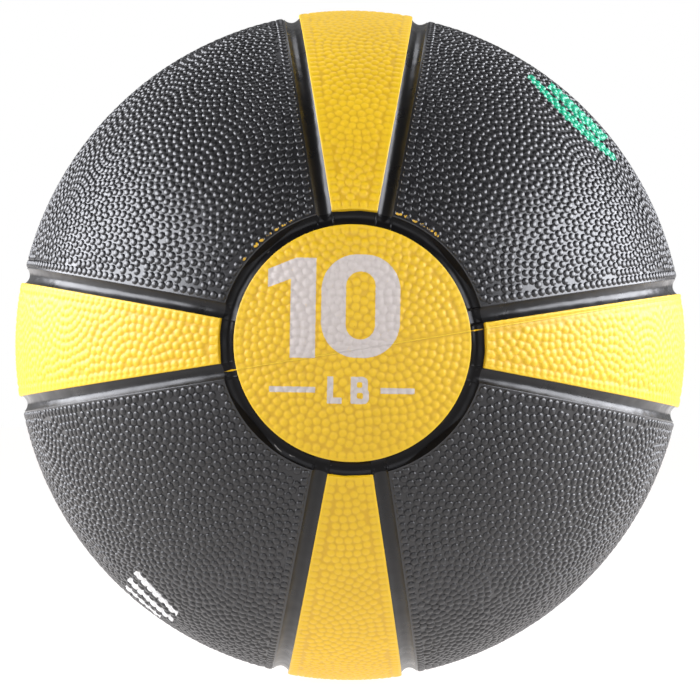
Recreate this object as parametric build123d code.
from build123d import *
import os
from math import asin, cos, degrees, radians, sin

# A 10 lb (4.54 kg) inflatable rubber medicine ball, in millimetres.
# The origin is the middle of the ball. +Z is up, +X is to the right of someone who faces the
# printed end, and the printed round panel faces -Y. The Y axis runs through both round panels.
# A polar angle is measured at the middle of the ball from the -Y pole, and a turn about the
# Y axis is measured from +X towards +Z.

# Driving dimensions
ball_r = 114.3            # a 9 inch ball, over the yellow panels
black_drop = 0.4          # the black panels lie this much lower than the yellow ones
cover_t = 2.5             # thickness of the yellow cover panels
disc_r = 38.1             # the round end panels are 3 inches across
ring_w = 5.2              # width of the groove round each end panel, along the surface
strip_half_turn = 9.8     # each yellow strip reaches this many degrees either side of its middle
channel_w = 5.0           # width of the black strip under each long groove
groove_mouth = 4.2        # width of a groove at its lips
groove_depth = 1.4
body_t = 26.75            # thickness of the weighted rubber wall
winding_t = 1.0           # the layer of nylon thread wound round the bladder
bladder_t = 1.6
parting_tilt = 10.0       # the mould parts on a plane tilted this much about the Y axis

# Valve, at the middle of the rear round panel
flange_r = 14.0           # the flange that is bonded inside the bladder
flange_t = 1.6
stem_r = 6.0
neck_r = 3.5              # the part of the valve that shows in the cover
plug_r = 2.6
plug_l = 20.0
needle_r = 1.0            # a common inflating needle is 2 mm across
air_way_r = 1.4

# Sizes that follow from those
black_r = ball_r - black_drop
cover_in_r = ball_r - cover_t
body_in_r = cover_in_r - body_t
bladder_out_r = body_in_r - winding_t
bladder_in_r = bladder_out_r - bladder_t
flange_in_r = bladder_in_r - flange_t
disc_angle = degrees(asin(disc_r / ball_r))
ring_angle = disc_angle + degrees(ring_w / ball_r)
groove_r = ((groove_mouth / 2) ** 2 + groove_depth ** 2) / (2 * groove_depth)
groove_path_r = black_r + groove_r - groove_depth
quarter_turn = 90.0
far_past = 2 * ball_r     # longer than anything it has to cut through


def polar_point(r, polar):
    """A point in the XY plane at a radius and a polar angle in degrees."""
    return (r * sin(radians(polar)), -r * cos(radians(polar)))


def wall_section(r_in, r_out, polar_a, polar_b):
    """The flat section of a spherical wall between two polar angles."""
    polar_mid = (polar_a + polar_b) / 2
    outer = ThreePointArc(
        polar_point(r_out, polar_a),
        polar_point(r_out, polar_mid),
        polar_point(r_out, polar_b),
    )
    end_b = Line(polar_point(r_out, polar_b), polar_point(r_in, polar_b))
    inner = ThreePointArc(
        polar_point(r_in, polar_b),
        polar_point(r_in, polar_mid),
        polar_point(r_in, polar_a),
    )
    end_a = Line(polar_point(r_in, polar_a), polar_point(r_out, polar_a))
    return make_face([outer, end_b, inner, end_a])


def turned(shape, turn):
    """A shape turned about the Y axis, from +X towards +Z."""
    return Rot(0, -turn, 0) * shape


def wall_sector(r_out, turn_from, turn_to):
    """A piece of the cover between the two ring grooves and two planes through the Y axis."""
    section = wall_section(cover_in_r, r_out, ring_angle, 180 - ring_angle)
    sector = revolve(section, axis=Axis.Y, revolution_arc=turn_to - turn_from)
    return turned(sector, turn_to)


def slab(turn, side):
    """A flat slab, one channel wide, on one side of the half-plane at a turn about the Y axis."""
    block = Pos(far_past / 2, 0, side * channel_w / 2) * Box(far_past, far_past, channel_w)
    return turned(block, turn)


def yellow_strip(middle):
    """One long yellow panel, from ring to ring."""
    return wall_sector(ball_r, middle - strip_half_turn, middle + strip_half_turn)


def black_panel(middle):
    """One of the four wide black panels, cut back for the channels on both sides."""
    turn_from = middle - quarter_turn / 2 + strip_half_turn
    turn_to = middle + quarter_turn / 2 - strip_half_turn
    return wall_sector(black_r, turn_from, turn_to) - slab(turn_from, 1) - slab(turn_to, -1)


def long_channel(turn, side):
    """The black rubber strip under one long groove, beside a yellow strip's edge."""
    reach = 12 * side
    sector = wall_sector(black_r, min(turn, turn + reach), max(turn, turn + reach))
    strip = sector & slab(turn, side)
    groove = Pos(0, 0, side * channel_w / 2) * Torus(groove_path_r, groove_r)
    return strip - turned(groove, turn)


def facing(shape, end):
    """A shape made for the -Y end, turned half round to the +Y end where end is 1."""
    return Rot(0, 0, 180) * shape if end > 0 else shape


def ring_channel(end):
    """The black rubber ring under the groove round one end panel."""
    section = wall_section(cover_in_r, black_r, disc_angle, ring_angle)
    ring = revolve(section, axis=Axis.Y, revolution_arc=360)
    polar_mid = (disc_angle + ring_angle) / 2
    across, along = polar_point(groove_path_r, polar_mid)
    groove = Pos(0, along, 0) * Rot(90, 0, 0) * Torus(across, groove_r)
    return facing(ring - groove, end)


def end_cone(polar):
    """Everything nearer to the -Y pole than a polar angle, as a cone from the middle."""
    edge = polar_point(far_past, polar)
    section = make_face([Line((0, 0), edge), Line(edge, (0, edge[1])), Line((0, edge[1]), (0, 0))])
    return revolve(section, axis=Axis.Y, revolution_arc=360)


def valve_rod(r, y_from, y_to):
    """A round rod along the Y axis."""
    return Pos(0, (y_from + y_to) / 2, 0) * Rot(90, 0, 0) * Cylinder(r, y_to - y_from)


def sphere_wall(r_in, r_out):
    """A whole spherical layer."""
    return Sphere(r_out) - Sphere(r_in)


def round_panel(end):
    """One yellow end panel. The rear one has the hole for the valve."""
    panel = facing(sphere_wall(cover_in_r, ball_r) & end_cone(disc_angle), end)
    return panel - valve_rod(neck_r, 0, far_past) if end > 0 else panel


def body_half(upper):
    """One half of the weighted wall, cut on the mould's parting plane."""
    wall = sphere_wall(body_in_r, cover_in_r) - valve_rod(stem_r, 0, far_past)
    side = 1 if upper else -1
    keep = Pos(0, 0, side * far_past / 2) * Box(2 * far_past, 2 * far_past, far_past)
    return wall & turned(keep, parting_tilt)


def nylon_winding():
    """The wound thread, drawn as one even layer round the bladder."""
    return sphere_wall(bladder_out_r, body_in_r) - valve_rod(stem_r, 0, far_past)


def bladder():
    """The airtight liner, with the hole that the valve stem passes through."""
    return sphere_wall(bladder_in_r, bladder_out_r) - valve_rod(stem_r, 0, far_past)


def valve_housing():
    """A flange inside the bladder, a stem through the wall, and a neck through the cover."""
    flange = sphere_wall(flange_in_r, bladder_in_r) & valve_rod(flange_r, 0, far_past)
    stem = valve_rod(stem_r, 0, far_past) & sphere_wall(bladder_in_r, cover_in_r)
    neck = valve_rod(neck_r, 0, ball_r) - Sphere(cover_in_r)
    plug_hole = valve_rod(plug_r, ball_r - plug_l, far_past)
    air_way = valve_rod(air_way_r, 0, far_past)
    return flange + stem + neck - plug_hole - air_way


def valve_plug():
    """The self-sealing plug. Its slit is drawn open, as the needle holds it."""
    plug = valve_rod(plug_r, ball_r - plug_l, ball_r)
    return plug - valve_rod(needle_r, 0, far_past)


def write(shape, node):
    shape.label = node
    export_step(shape, f"parts/{node}.step")


os.makedirs("parts", exist_ok=True)

write(bladder(), "bladder")
write(nylon_winding(), "nylon_winding")
write(body_half(True), "body_upper_half")
write(body_half(False), "body_lower_half")
write(valve_housing(), "valve_housing")
write(valve_plug(), "valve_plug")

for end_name, end in {"front": -1, "rear": 1}.items():
    write(round_panel(end), f"{end_name}_disc")
    write(ring_channel(end), f"{end_name}_ring_channel")

strip_turns = {"right": 0, "top": 90, "left": 180, "bottom": 270}
for strip_name, middle in strip_turns.items():
    write(yellow_strip(middle), f"{strip_name}_strip")

panel_turns = {"upper_right": 45, "upper_left": 135, "lower_left": 225, "lower_right": 315}
for panel_name, middle in panel_turns.items():
    write(black_panel(middle), f"{panel_name}_panel")

# Each long groove is named for its strip, then for the side of the strip that it lies on.
groove_sides = {
    "right": ("lower", "upper"),
    "top": ("right", "left"),
    "left": ("upper", "lower"),
    "bottom": ("left", "right"),
}
for strip_name, (before, after) in groove_sides.items():
    middle = strip_turns[strip_name]
    write(long_channel(middle - strip_half_turn, -1), f"{strip_name}_strip_{before}_channel")
    write(long_channel(middle + strip_half_turn, 1), f"{strip_name}_strip_{after}_channel")
